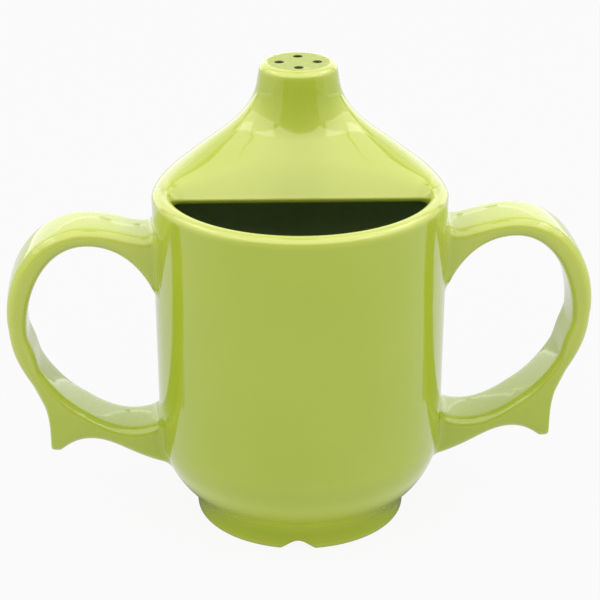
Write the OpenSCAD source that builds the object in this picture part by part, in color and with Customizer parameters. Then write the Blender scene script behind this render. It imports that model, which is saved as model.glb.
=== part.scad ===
// Two-handled invalid feeder: a glazed cup with a half cover, a pierced spout and strap handles.
// Millimetres, +Z up, origin at the middle of the foot on the table.
// The filling mouth faces -Y, the spout stands over the back half, and the handles lie along X.
// Each clay piece is a solid of its own, and a film of luting slip joins it to the next one.

/* [Cup] */
// Outer diameter at the rim
rim_d = 80; // [72:0.5:92]
// Height of the rim above the table
rim_h = 96; // [88:0.5:110]
// Thickness of the wall
wall_t = 4.5; // [3.5:0.1:6]
// How much smaller the wall's radius is where it starts to turn in
wall_taper = 0.7; // [0:0.1:2]
// Height at which the wall starts to turn in towards the foot
turn_h = 26; // [23:0.5:32]
// Thickness of the floor
floor_t = 5; // [4:0.1:8]
// Radius of the bend between the inner wall and the floor
inner_bend_r = 17; // [10:0.5:18]

/* [Foot] */
// Outer diameter of the foot ring at its top
foot_d = 58.6; // [52:0.2:64]
// Height of the foot ring
foot_h = 6.9; // [5:0.1:9]
// Width of the foot ring
foot_w = 5; // [4:0.1:8]
// How much the foot ring's outer radius draws in towards the table
foot_taper = 0.4; // [0:0.1:1.5]
// Radius of the foot ring's lower edges
foot_edge_r = 1; // [0.4:0.1:1.5]
// Depth of the hollow under the floor
foot_hollow = 3; // [2.8:0.1:4]
// Number of drain notches in the foot ring
notch_count = 3; // [2:1:6]
// Radius of a drain notch
notch_r = 5; // [3:0.1:7]
// Depth of a drain notch
notch_depth = 2; // [1:0.1:2.5]
// Turn of the first notch away from the front
notch_turn = -5; // [-30:1:30]

/* [Half cover] */
// Turn of the cover, its mouth and the spout against the line of the handles
cover_turn = -2.5; // [-5:0.5:5]
// How far the cover's straight lip stands in front of the cup's axis
lip_forward = 5; // [0:0.5:10]
// Thickness of the straight lip
lip_t = 4; // [3:0.1:6]
// Depth of the cover's seat below the rim
seat_drop = 4; // [3:0.1:6]
// How far above its seat the cover's side turns over into the slope
brow_rise = 3; // [2:0.1:6]
// Height above the rim at which the slope would meet the neck
throat_rise = 15.8; // [12:0.5:22]
// Share of the slope taken up by the rounded brow
brow_share = 0.25; // [0.1:0.05:0.3]
// Share of the slope taken up by the tighter roll above the lip
lip_share = 0.08; // [0.05:0.01:0.2]
// Share of the slope taken up by the rounded throat
throat_share = 0.6; // [0.2:0.05:0.7]
// How much lower the cover's hollow lies than its outside
cover_drop = 1.5; // [1:0.1:3]

/* [Spout] */
// How far the spout's axis stands behind the cup's axis
spout_back = 18; // [14:0.5:20]
// Height of the spout's end above the rim
spout_rise = 29; // [25:0.5:36]
// Outer diameter of the spout at its end
tip_d = 20.5; // [18:0.5:26]
// How much the spout's radius grows for each millimetre down
spout_taper = 0.16; // [0:0.01:0.2]
// Thickness of the spout's wall
spout_wall = 3.4; // [2.5:0.1:4.5]
// Thickness of the pierced end
end_t = 3.2; // [2:0.1:5]
// Height of the separate spout tip
tip_len = 7; // [6:0.5:9]
// Radius of the outer edge of the spout's end
tip_edge_r = 1.6; // [0.8:0.1:2.4]
// Number of flow holes
hole_count = 4; // [3:1:6]
// Diameter of a flow hole
hole_d = 2.4; // [1.5:0.1:3]
// Diameter of the circle that the flow holes lie on
hole_circle_d = 10.4; // [8:0.1:11]

/* [Handles] */
// Width of the handle's strap, from front to back
strap_w = 17; // [12:0.5:22]
// Radius of the strap's edges
strap_edge_r = 2.2; // [1:0.1:2.2]
// How far the handle stands out from the rim
handle_reach = 40; // [34:0.5:48]
// Thickness of the strap at the outside of the loop
strap_t = 5.5; // [4.6:0.1:7]
// Thickness of the strap at the top of the loop
strap_top_t = 5.8; // [5:0.1:9]
// Depth of the top of the handle below the rim
handle_drop = 8.2; // [7:0.1:12]
// Height of the upper joint on the wall
upper_joint_h = 17.8; // [14:0.1:24]
// Height of the lower joint on the wall
lower_joint_h = 13.4; // [12:0.1:18]
// How far the finger spur hangs below the arch of the handle's underside
spur_drop = 3.3; // [2:0.1:6]

/* [Joints] */
// Thickness of the luting slip between two pieces
slip_t = 0.4; // [0.2:0.05:0.8]
// Width of the slip fillet round a handle's end
bead_w = 1.4; // [0.8:0.1:1.8]
// Clearance of the slip fillets from the turned wall
seat_gap = 0.05; // [0.02:0.01:0.1]

/* [Hidden] */
$fn = 96;
glaze = "yellowgreen";
slip_colour = "darkkhaki";

rim_r = rim_d / 2;
foot_r = foot_d / 2;
foot_in_r = foot_r - foot_w;
boss_r = foot_in_r - slip_t;
low_r = rim_r - wall_taper;
body_base = foot_h + slip_t;
floor_h = foot_hollow + floor_t;

// The turn of the wall is the arc that leaves the wall upright and ends at the foot.
turn_in = low_r - foot_r;
turn_drop = turn_h - body_base;
turn_r = (turn_in * turn_in + turn_drop * turn_drop) / (2 * turn_in);
turn_a = atan2(turn_drop, turn_r - turn_in);

mouth_y = -lip_forward;
lip_y = mouth_y + slip_t;
seat_h = rim_h - seat_drop;
cover_base = seat_h + slip_t;
brow_h = cover_base + brow_rise;
throat_h = rim_h + throat_rise;
tip_top = rim_h + spout_rise;
neck_h = tip_top - tip_len;

// Facets round the cover, and how square its plan is at the seat and at the neck.
cover_facets = 96;
square_at_seat = 90;
square_at_neck = 3;
round_steps = 6;

// Where the lip's tighter roll starts, as the sine of the angle seen from the spout, and its blend.
lip_from = 0.42;
lip_blend = 0.2;

// Steps of a handle section: round each edge, along each flat and down each side.
edge_steps = 3;
flat_steps = 4;
side_steps = 6;
across_steps = 2 * edge_steps + flat_steps;

function lerp(a, b, t) = a + (b - a) * t;
function arc(c, r, a0, a1, n) =
    [for (i = [0:n]) let (a = lerp(a0, a1, i / n)) c + r * [cos(a), sin(a)]];
function bend(p, q, s, n) =
    [for (i = [0:n]) let (t = i / n) p * (1 - t) * (1 - t) + q * 2 * t * (1 - t) + s * t * t];
function curve_point(p, t) =
    let (s = 1 - t) p[0] * s * s * s + p[1] * 3 * s * s * t + p[2] * 3 * s * t * t + p[3] * t * t * t;
function curve(p, n, from = 0, to = 1) = [for (i = [0:n]) curve_point(p, lerp(from, to, i / n))];
function tail(list) = [for (i = [1:len(list) - 1]) list[i]];
function reversed(list) = [for (i = [len(list) - 1:-1:0]) list[i]];

// Outer radius of the cup at a height.
function wall_r(z) = rim_r - wall_taper * (rim_h - z) / (rim_h - turn_h);
function turned_r(z) = low_r - turn_r + sqrt(turn_r * turn_r - pow(turn_h - z, 2));
function body_r(z) = z >= turn_h ? wall_r(z) : turned_r(z);

// Cup body: one turned section, with the back of the rim cut down to the cover's seat.
function body_section() =
    let (
        rim_round = wall_t / 2,
        inner_low = wall_r(floor_h + inner_bend_r) - wall_t
    )
    concat(
        [[0, foot_hollow], [boss_r, foot_hollow], [boss_r, body_base]],
        arc([low_r - turn_r, turn_h], turn_r, -turn_a, 0, 14),
        arc([rim_r - rim_round, rim_h - rim_round], rim_round, 0, 180, 12),
        arc([inner_low - inner_bend_r, floor_h + inner_bend_r], inner_bend_r, 0, -90, 12),
        [[0, floor_h]]
    );

module cup_body() {
    color(glaze) difference() {
        rotate_extrude() polygon(body_section());
        rotate([0, 0, cover_turn])
            translate([-rim_d, mouth_y, seat_h]) cube([2 * rim_d, 2 * rim_d, rim_h]);
    }
}

// Foot ring: fits round the boss under the floor and carries the drain notches.
module foot_ring() {
    low_out = foot_r - foot_taper;
    e = foot_edge_r;
    section = concat(
        [[foot_in_r, foot_h]],
        arc([foot_in_r + e, e], e, 180, 270, 6),
        arc([low_out - e, e], e, -90, 0, 6),
        [[foot_r, foot_h]]
    );
    color(glaze) difference() {
        rotate_extrude() polygon(section);
        for (i = [0:notch_count - 1])
            rotate([0, 0, notch_turn - 90 + i * 360 / notch_count])
                translate([0, 0, notch_depth - notch_r])
                    rotate([0, 90, 0]) cylinder(r = notch_r, h = foot_d);
    }
}

module foot_slip() {
    color(slip_colour) rotate_extrude() polygon([
        [boss_r, foot_hollow], [foot_in_r, foot_hollow], [foot_in_r, foot_h],
        [foot_r, foot_h], [foot_r, body_base], [boss_r, body_base]
    ]);
}

// Plan of the cover, seen from the spout's axis: the cup's circle, cut across by the straight lip.
function circle_reach(a, r) = -spout_back * sin(a) + sqrt(r * r - pow(spout_back * cos(a), 2));
function plan_reach(a, r, lip, squareness) =
    pow(
        pow(circle_reach(a, r), -squareness) + pow(max(0, -sin(a)) / (spout_back - lip), squareness),
        -1 / squareness
    );

// The cover's slope as [share of the way out to the plan, height], from the seat up to the neck.
// A small roll leaves the side upright for longer.
function slope_line(drop, roll) =
    let (
        brow = [1, brow_h - drop],
        throat = [0, throat_h - drop],
        upright = lerp(brow[1], cover_base, 2.8 * roll)
    )
    concat(
        [[1, cover_base]],
        bend([1, upright], brow, lerp(brow, throat, roll), round_steps),
        bend(lerp(throat, brow, throat_share), throat, [0, neck_h], round_steps)
    );

// Roll of the cover's outside: tight above the lip, wide round the cup's wall.
function roll_at(a) =
    let (t = min(1, max(0, (-sin(a) - lip_from) / lip_blend)))
    lerp(brow_share, lip_share, t * t * (3 - 2 * t));

// Outer and inner radius of the spout at a height.
function spout_r(z) = tip_d / 2 + spout_taper * (tip_top - z);
function bore_r(z) = spout_r(z) - spout_wall;

function cover_point(a, station, r, lip, neck) =
    let (
        z = station[1],
        up = (z - cover_base) / (neck_h - cover_base),
        squareness = lerp(square_at_neck, square_at_seat, pow(1 - up, 8)),
        reach = neck + (plan_reach(a, r, lip, squareness) - neck) * station[0]
    )
    [reach * cos(a), spout_back + reach * sin(a), z];

// A ring-shaped solid: points[i][j] runs round the axis with i and round the section with j.
module ring_solid(points) {
    n = len(points);
    m = len(points[0]);
    faces = [
        for (i = [0:n - 1], j = [0:m - 1])
            let (
                a = i * m + j,
                b = ((i + 1) % n) * m + j,
                c = ((i + 1) % n) * m + (j + 1) % m,
                d = i * m + (j + 1) % m
            )
            each [[a, c, b], [a, d, c]]
    ];
    polyhedron([for (p = points) each p], faces);
}

module half_cover() {
    inside = reversed(slope_line(cover_drop, brow_share));
    outer_r = wall_r(cover_base);
    inner_r = outer_r - wall_t;
    color(glaze) rotate([0, 0, cover_turn]) ring_solid([
        for (i = [0:cover_facets - 1])
            let (a = i * 360 / cover_facets)
            concat(
                [for (s = slope_line(0, roll_at(a))) cover_point(a, s, outer_r, lip_y, spout_r(s[1]))],
                [for (s = inside) cover_point(a, s, inner_r, lip_y + lip_t, bore_r(s[1]))]
            )
    ]);
}

// The half ring of slip under the cover, with an upstand against each end of the open rim.
module cover_slip() {
    outer_r = wall_r(cover_base);
    color(slip_colour) intersection() {
        rotate([0, 0, cover_turn]) translate([-rim_d, mouth_y, seat_h]) union() {
            cube([2 * rim_d, 2 * rim_d, slip_t]);
            cube([2 * rim_d, slip_t, seat_drop / 2]);
        }
        difference() {
            cylinder(r = outer_r, h = 2 * rim_h);
            cylinder(r = outer_r - wall_t, h = 2 * rim_h);
        }
    }
}

// Spout tip: a turned tube with a closed end, pierced by the flow holes.
module spout_tip() {
    base = neck_h + slip_t;
    end_h = tip_top - end_t;
    edge_h = tip_top - tip_edge_r;
    section = concat(
        [[bore_r(base), base], [spout_r(base), base]],
        arc([spout_r(edge_h) - tip_edge_r, edge_h], tip_edge_r, 0, 90, 8),
        [[0, tip_top], [0, end_h], [bore_r(end_h), end_h]]
    );
    color(glaze) rotate([0, 0, cover_turn]) translate([0, spout_back, 0]) difference() {
        rotate_extrude() polygon(section);
        for (i = [0:hole_count - 1])
            rotate([0, 0, i * 360 / hole_count])
                translate([hole_circle_d / 2, 0, neck_h]) cylinder(d = hole_d, h = 2 * tip_len);
    }
}

module spout_slip() {
    color(slip_colour) rotate([0, 0, cover_turn]) translate([0, spout_back, neck_h]) difference() {
        cylinder(r = spout_r(neck_h + slip_t), h = slip_t);
        translate([0, 0, -slip_t]) cylinder(r = bore_r(neck_h), h = 3 * slip_t);
    }
}

// Side view of the right handle as [x, z]: heights of its joints, crown, belly and spur.
upper_top = rim_h - 10.6;
upper_low = upper_top - upper_joint_h;
lower_top = turn_h + 4;
lower_low = lower_top - lower_joint_h;
handle_top = rim_h - handle_drop;
gap_top = handle_top - strap_top_t;
gap_floor = turn_h + 1.8;
belly_h = rim_h - 34;
hip_h = turn_h + 9.5;
reach_x = rim_r + handle_reach;
gap_x = reach_x - strap_t;
crown_x = rim_r + 0.45 * handle_reach;
arch_x = rim_r + 0.47 * handle_reach;
arch_h = turn_h - 1.1;
heel = [rim_r + handle_reach / 2, gap_floor + 6.2];
spur_x = reach_x - 10.3;
spur_h = arch_h - spur_drop;
spur_round = 1.2;

function on_wall(z) = [body_r(z), z];

// The outside of the strap, run by run from the upper joint round to the lower one.
outer_runs = [
    curve([
        on_wall(upper_top), [rim_r + 4, upper_top - 1.6], [crown_x - 8, handle_top], [crown_x, handle_top]
    ], 7),
    curve([
        [crown_x, handle_top], [crown_x + 13, handle_top], [reach_x, belly_h + 14], [reach_x, belly_h]
    ], 8),
    curve([
        [reach_x, belly_h], [reach_x, belly_h - 9], [spur_x + 4.5, hip_h + 7.5], [spur_x + 1.4, hip_h]
    ], 6),
    curve([
        [spur_x + 1.4, hip_h], [spur_x, hip_h - 3.5], [spur_x, hip_h - 8], [spur_x, spur_h + spur_round]
    ], 4),
    curve([
        [spur_x, spur_h + spur_round], [spur_x, spur_h], [spur_x, spur_h], [spur_x - spur_round, spur_h]
    ], 2),
    curve([
        [spur_x - spur_round, spur_h], [spur_x - 4, spur_h + 0.8], [arch_x + 4.5, arch_h], [arch_x, arch_h]
    ], 6),
    curve([
        [arch_x, arch_h], [arch_x - 7, arch_h], [rim_r + 8, lower_low + 3], on_wall(lower_low)
    ], 7)
];

// The finger gap, with as many steps in each run as the outside has.
gap_side = [[gap_x, belly_h - 3.5], [gap_x, belly_h - 11.5], heel + [7.5, 4.8], heel];
inner_runs = [
    curve([
        on_wall(upper_low), [rim_r + 3, upper_low + 8], [crown_x - 9, gap_top], [crown_x, gap_top]
    ], 7),
    curve([[crown_x, gap_top], [crown_x + 11, gap_top], [gap_x, belly_h + 9], gap_side[0]], 8),
    curve(gap_side, 6, 0, 0.55),
    curve(gap_side, 4, 0.55, 0.7),
    curve(gap_side, 2, 0.7, 0.8),
    curve(gap_side, 6, 0.8, 1),
    curve([
        heel, [heel[0] - 7, gap_floor + 1], [rim_r + 6, gap_floor - 1], on_wall(lower_top)
    ], 7)
];
function joined(runs) = concat([runs[0][0]], [for (r = runs) each tail(r)]);
outer_line = joined(outer_runs);
inner_line = joined(inner_runs);
last = len(outer_line) - 1;

// Steps of a section's corners as [across the strap, down it], once round its edge.
corner_steps = concat(
    [for (k = [0:across_steps]) [k, 0]],
    [for (l = [1:side_steps - 1]) [across_steps, l]],
    [for (k = [across_steps:-1:0]) [k, side_steps]],
    [for (l = [side_steps - 1:-1:1]) [0, l]]
);
face_steps = [for (k = [1:across_steps - 1], l = [1:side_steps - 1]) [k, l]];

// Place across the strap, and half its thickness there, for a section with round edges.
function across(k, half_w, r) =
    let (e = min(k, across_steps - k), side = k < across_steps - k ? -1 : 1)
    e <= edge_steps ? side * (half_w - r + r * cos(90 * e / edge_steps))
    : lerp(r - half_w, half_w - r, (k - edge_steps) / flat_steps);
function half_thickness(k, half_t, r) =
    let (e = min(k, across_steps - k, edge_steps)) half_t - r + r * sin(90 * e / edge_steps);

// A corner of the section at a station, with the section made larger all round by grow.
function section_point(station, step, grow = 0) =
    let (
        o = outer_line[station],
        q = inner_line[station],
        u = (o - q) / norm(o - q),
        r = strap_edge_r + grow,
        reach = half_thickness(step[0], norm(o - q) / 2 + grow, r) * (1 - 2 * step[1] / side_steps),
        p = (o + q) / 2 + u * reach
    )
    [p[0], across(step[0], strap_w / 2 + grow, r), p[1]];

// The same corner moved along X until it stands off the cup's wall by gap.
function wall_point(p, gap) = [sqrt(pow(body_r(p[2]) + gap, 2) - p[1] * p[1]), p[1], p[2]];
function wall_ring(station, steps, gap, grow = 0) =
    [for (s = steps) wall_point(section_point(station, s, grow), gap)];

// Number of a corner in an end face: edge corners belong to the ring, and the others follow on.
function face_index(k, l, ring, others) =
    l == 0 ? ring + k
    : l == side_steps ? ring + 2 * across_steps + side_steps - k
    : k == across_steps ? ring + across_steps + l
    : k == 0 ? ring + 2 * (across_steps + side_steps) - l
    : others + (k - 1) * (side_steps - 1) + l - 1;
function end_faces(ring, others, flip) = [
    for (k = [0:across_steps - 1], l = [0:side_steps - 1])
        let (
            a = face_index(k, l, ring, others),
            b = face_index(k + 1, l, ring, others),
            c = face_index(k + 1, l + 1, ring, others),
            d = face_index(k, l + 1, ring, others)
        )
        each flip ? [[a, b, c], [a, c, d]] : [[a, c, b], [a, d, c]]
];

// A solid through rings of corners, closed by an end face at the first and at the last ring.
module wall_loft(rings, first_face, last_face) {
    n = len(rings);
    m = len(rings[0]);
    sides = [
        for (i = [0:n - 2], j = [0:m - 1])
            let (a = i * m + j, b = i * m + (j + 1) % m)
            each [[a, b + m, a + m], [a, b, b + m]]
    ];
    polyhedron(
        concat([for (r = rings) each r], first_face, last_face),
        concat(
            sides,
            end_faces(0, n * m, false),
            end_faces((n - 1) * m, n * m + len(first_face), true)
        )
    );
}

module handle() {
    film = slip_t + seat_gap;
    middle = [for (i = [1:last - 1]) [for (s = corner_steps) section_point(i, s)]];
    color(glaze) wall_loft(
        concat([wall_ring(0, corner_steps, film)], middle, [wall_ring(last, corner_steps, film)]),
        wall_ring(0, face_steps, film),
        wall_ring(last, face_steps, film)
    );
}

// Rings of the slip at a handle's end: the end face, up the strap's side, then down onto the wall.
function slip_rings(end, next) =
    let (
        face = wall_ring(end, corner_steps, slip_t + seat_gap),
        root = wall_ring(end, corner_steps, seat_gap),
        toe = wall_ring(end, corner_steps, seat_gap, bead_w),
        side = [
            for (i = [0:len(face) - 1])
                let (along = section_point(next, corner_steps[i]) - face[i])
                face[i] + along * min(1, (bead_w - slip_t) / norm(along))
        ],
        flank = [for (i = [0:len(face) - 1]) bend(side[i], root[i], toe[i], 3)]
    )
    concat([face], [for (t = [0:3]) [for (f = flank) f[t]]]);

module handle_slip() {
    film = slip_t + seat_gap;
    color(slip_colour) {
        wall_loft(
            reversed(slip_rings(0, 1)),
            wall_ring(0, face_steps, seat_gap, bead_w),
            wall_ring(0, face_steps, film)
        );
        wall_loft(
            slip_rings(last, last - 1),
            wall_ring(last, face_steps, film),
            wall_ring(last, face_steps, seat_gap, bead_w)
        );
    }
}

module right_handle() {
    handle();
}

module left_handle() {
    mirror([1, 0, 0]) handle();
}

module right_handle_slip() {
    handle_slip();
}

module left_handle_slip() {
    mirror([1, 0, 0]) handle_slip();
}

cup_body();
foot_ring();
half_cover();
spout_tip();
left_handle();
right_handle();
foot_slip();
cover_slip();
spout_slip();
left_handle_slip();
right_handle_slip();
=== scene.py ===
"""Two-handled feeding cup: each glazed clay piece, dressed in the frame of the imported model."""

import logging
import math
from dataclasses import dataclass
from enum import Enum
from functools import cached_property
from typing import Any, Callable, Sequence

import bmesh
import bpy
import numpy as np
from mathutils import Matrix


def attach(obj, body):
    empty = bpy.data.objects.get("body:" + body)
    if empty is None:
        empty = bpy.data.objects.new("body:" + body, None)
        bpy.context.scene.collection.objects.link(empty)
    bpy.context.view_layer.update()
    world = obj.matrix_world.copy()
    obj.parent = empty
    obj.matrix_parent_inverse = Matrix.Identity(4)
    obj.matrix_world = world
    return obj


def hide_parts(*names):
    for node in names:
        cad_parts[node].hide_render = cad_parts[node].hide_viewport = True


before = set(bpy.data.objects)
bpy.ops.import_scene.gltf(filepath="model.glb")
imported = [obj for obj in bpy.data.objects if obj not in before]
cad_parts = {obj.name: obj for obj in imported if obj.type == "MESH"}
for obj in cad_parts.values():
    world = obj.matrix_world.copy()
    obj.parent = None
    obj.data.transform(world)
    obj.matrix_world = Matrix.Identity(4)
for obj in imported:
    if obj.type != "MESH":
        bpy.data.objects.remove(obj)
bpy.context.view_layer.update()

# Lengths are in millimetres where nothing else is said. Points closer than the weld, in metres, are one.
MM = 0.001
TINY = 1e-9
WELD = 1e-8
PROBE = 0.05
CREASE = math.radians(32.0)
# The glaze's edge attribute also carries painted light on upper slopes and painted shade inside the cup and
# in the flow holes.
EDGE_AND_PAINTED_LIGHT = "glaze_edge"
Array = np.ndarray
Piece = bpy.types.Object
Material = bpy.types.Material
Rgb = tuple[float, float, float]
Place = tuple[float, float, float]
Span = tuple[float, float]
Runs = tuple[tuple[float, float, float], ...]
Line = tuple[Array, Array]
Curve = tuple[list[Span], float, float, int]
Field = Callable[[Array], Array]
log = logging.getLogger("feeding_cup")


class Slot(Enum):
    """The record's material slots."""

    GLAZE = "lime_glaze"
    SLIP = "luting_slip"


class Side(Enum):
    """The two handles, by the sign of their X."""

    LEFT = -1
    RIGHT = 1


class Skin(Enum):
    """The surfaces of the half cover, and the dome that its outside would be part of without a mouth."""

    OUTER = "outer"
    INNER = "inner"
    DOME = "dome"


class Cut(Enum):
    """How a cutting shape acts on a piece."""

    KEEP = "INTERSECT"
    REMOVE = "DIFFERENCE"


# Node trees


def math_method(operation: str, reflected: bool = False) -> Callable[..., "Wire"]:
    """Make a method of a wire that adds one Math node.

    Args:
        operation: The node's operation.
        reflected: Whether the wire is the second of the two values.

    Returns:
        The method, which takes the other value.
    """

    def method(wire: "Wire", other: Any = 0.0) -> "Wire":
        """Add the node."""
        values = (other, wire) if reflected else (wire, other)
        return wire.bench.add("ShaderNodeMath", {"operation": operation}, dict(enumerate(values)))

    return method


class Wire:
    """A node's output that takes part in Python expressions."""

    __add__, __radd__ = math_method("ADD"), math_method("ADD", True)
    __sub__, __rsub__ = math_method("SUBTRACT"), math_method("SUBTRACT", True)
    __mul__, __rmul__ = math_method("MULTIPLY"), math_method("MULTIPLY", True)
    __truediv__, __rtruediv__ = math_method("DIVIDE"), math_method("DIVIDE", True)
    at_least, at_most = math_method("MAXIMUM"), math_method("MINIMUM")
    cosine, sine = math_method("COSINE"), math_method("SINE")

    def __init__(self, bench: "Bench", socket: bpy.types.NodeSocket) -> None:
        """Keep the socket and the bench that adds nodes to its tree."""
        self.bench = bench
        self.socket = socket

    def ramp(self, low: float, high: float) -> "Wire":
        """Smooth step from 0 at low to 1 at high."""
        sockets = {"Value": self, "From Min": low, "From Max": high}
        return self.bench.add("ShaderNodeMapRange", {"interpolation_type": "SMOOTHSTEP"}, sockets)


class Bench:
    """Adds nodes to one tree, for shaders and for geometry alike."""

    def __init__(self, tree: bpy.types.NodeTree) -> None:
        """Start on an empty tree."""
        self.tree = tree
        tree.nodes.clear()

    def add(
        self,
        kind: str,
        settings: dict[str, Any] | None = None,
        sockets: dict[int | str, Any] | None = None,
        out: int | str = 0,
    ) -> Wire:
        """Add a node, set its settings first, then fill or link its sockets.

        Args:
            kind: The node's type.
            settings: The node's own properties.
            sockets: Values or wires, by the socket's name or number.
            out: The output that the returned wire stands for.

        Returns:
            A wire from the chosen output, or from the node's input 0 if it has no outputs.
        """
        node = self.tree.nodes.new(kind)
        for name, value in (settings or {}).items():
            setattr(node, name, value)
        for key, value in (sockets or {}).items():
            socket = node.inputs[key]
            if isinstance(value, Wire):
                self.tree.links.new(value.socket, socket)
            else:
                socket.default_value = value
        return Wire(self, node.outputs[out] if len(node.outputs) else node.inputs[0])

    def mix(self, factor: Wire, low: Any, high: Any) -> Wire:
        """Blend two colours.

        Args:
            factor: 0 for low, 1 for high.
            low: A colour or a wire.
            high: A colour or a wire.

        Returns:
            The blended colour.
        """
        settings = {"data_type": "RGBA", "clamp_factor": True}
        share, first, second, blend = 0, 6, 7, 2
        sockets = {share: factor, first: rgba(low), second: rgba(high)}
        return self.add("ShaderNodeMix", settings, sockets, blend)


def rgba(colour: Any) -> Any:
    """A colour with its alpha, or the wire that was given."""
    return colour if isinstance(colour, Wire) else (*colour, 1.0)


def new_material(name: str) -> tuple[Material, Bench]:
    """Make a material with an empty tree.

    Args:
        name: The material's name.

    Returns:
        The material and the bench for its tree.
    """
    material = bpy.data.materials.new(name)
    material.use_nodes = True
    return material, Bench(material.node_tree)


# Finishes


@dataclass(frozen=True)
class LimeGlaze:
    """Glossy lime glaze over a pale clay body, wiped off where the foot stands on the table, with painted
    light and painted shade in its colour.

    Heights are in metres. The edge attribute is 1 on a sharp outer edge and -1 in a crease; painted light
    raises it on upper slopes, and painted shade takes it lower inside the cup and in the flow holes. The
    noises give scale and detail of cloud, ripple and grain.
    """

    name: str
    lime: Rgb = (0.370, 0.460, 0.027)
    # Paler colour of glaze running thinner on outer edges, also used as painted light on upper slopes.
    thin_and_painted_light: Rgb = (0.560, 0.610, 0.120)
    pool: Rgb = (0.270, 0.370, 0.012)
    # Painted light: a paler copy of the lime for the cup's lower turn above the foot.
    turn: Rgb = (0.500, 0.610, 0.030)
    # Painted shade on the wall inside the cup.
    shade: Rgb = (0.250, 0.325, 0.165)
    # Painted shade on the walls of the flow holes.
    deep: Rgb = (0.070, 0.095, 0.004)
    clay: Rgb = (0.760, 0.700, 0.590)
    dark_clay: Rgb = (0.6536, 0.602, 0.5074)
    noises: tuple[Span, ...] = ((34.0, 3.0), (210.0, 1.0), (1400.0, 2.0))
    noise_mean: float = 0.5
    cloudy: float = 0.30
    grainy: float = 0.08
    edge_thinning_and_painted_light: float = 0.45
    crease_pools: float = 0.25
    pooling: float = 0.0
    turn_painted_light: float = 0.8
    turn_low: Span = (0.004, 0.009)
    turn_high: Span = (0.012, 0.022)
    wiped: Span = (0.00021, 0.00042)
    shade_from: Span = (1.2, 2.6)
    hole_shade_from: Span = (5.0, 5.8)
    rough: float = 0.10
    rough_grain: float = 0.04
    rough_clay: float = 0.62
    ior: float = 1.56
    coat: float = 0.50
    coat_rough: float = 0.04
    bump: float = 0.10
    bump_h: float = 0.0006
    bump_grain: float = 0.04

    def material(self) -> Material:
        """Build the material.

        Returns:
            A material on Object coordinates and the pieces' own edge attribute.
        """
        material, bench = new_material(self.name)
        place = bench.add("ShaderNodeTexCoord", out="Object")
        # The edge value also carries painted light on upper slopes and painted shade inside the cup and in
        # the flow holes.
        edge = bench.add("ShaderNodeAttribute", {"attribute_name": EDGE_AND_PAINTED_LIGHT}, out="Fac")
        cloud, ripple, grain = (
            bench.add("ShaderNodeTexNoise", sockets={"Vector": place, "Scale": scale, "Detail": detail})
            for scale, detail in self.noises
        )
        height = bench.add("ShaderNodeSeparateXYZ", sockets={0: place}, out="Z")
        crease, speck = 0.0 - edge, grain - self.noise_mean
        drift = (cloud - self.noise_mean) * self.cloudy + speck * self.grainy
        bare = 1.0 - height.ramp(*self.wiped)
        # Painted light on the cup's lower turn, in a band just above the foot.
        turned = height.ramp(*self.turn_low) * (1.0 - height.ramp(*self.turn_high))
        # Glaze thinner on outer edges, the painted light on upper slopes, and random cloud.
        thinner_and_painted_light = edge.at_least(0.0) * self.edge_thinning_and_painted_light + drift.at_least(0.0)
        pooled = crease.at_least(0.0) * self.crease_pools + (0.0 - drift).at_least(0.0) + self.pooling
        colour = bench.mix(pooled, bench.mix(thinner_and_painted_light, self.lime, self.thin_and_painted_light), self.pool)
        # Paler lime on the lower turn as painted light.
        colour = bench.mix(turned * self.turn_painted_light, colour, self.turn)
        # Painted shade on the wall inside the cup.
        colour = bench.mix(crease.ramp(*self.shade_from), colour, self.shade)
        # Painted shade on the walls of the flow holes.
        colour = bench.mix(crease.ramp(*self.hole_shade_from), colour, self.deep)
        chalk = bench.mix(grain, self.clay, self.dark_clay)
        bump = bench.add("ShaderNodeBump", sockets={
            "Strength": self.bump,
            "Distance": self.bump_h,
            "Height": ripple + grain * self.bump_grain,
        })
        gloss = bench.add("ShaderNodeBsdfPrincipled", sockets={
            "Base Color": bench.mix(bare, colour, chalk),
            "Roughness": self.rough + speck * self.rough_grain + bare * self.rough_clay,
            "IOR": self.ior,
            "Coat Weight": (1.0 - bare) * self.coat,
            "Coat Roughness": self.coat_rough,
            "Normal": bump,
        })
        bench.add("ShaderNodeOutputMaterial", sockets={"Surface": gloss})
        return material


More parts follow.
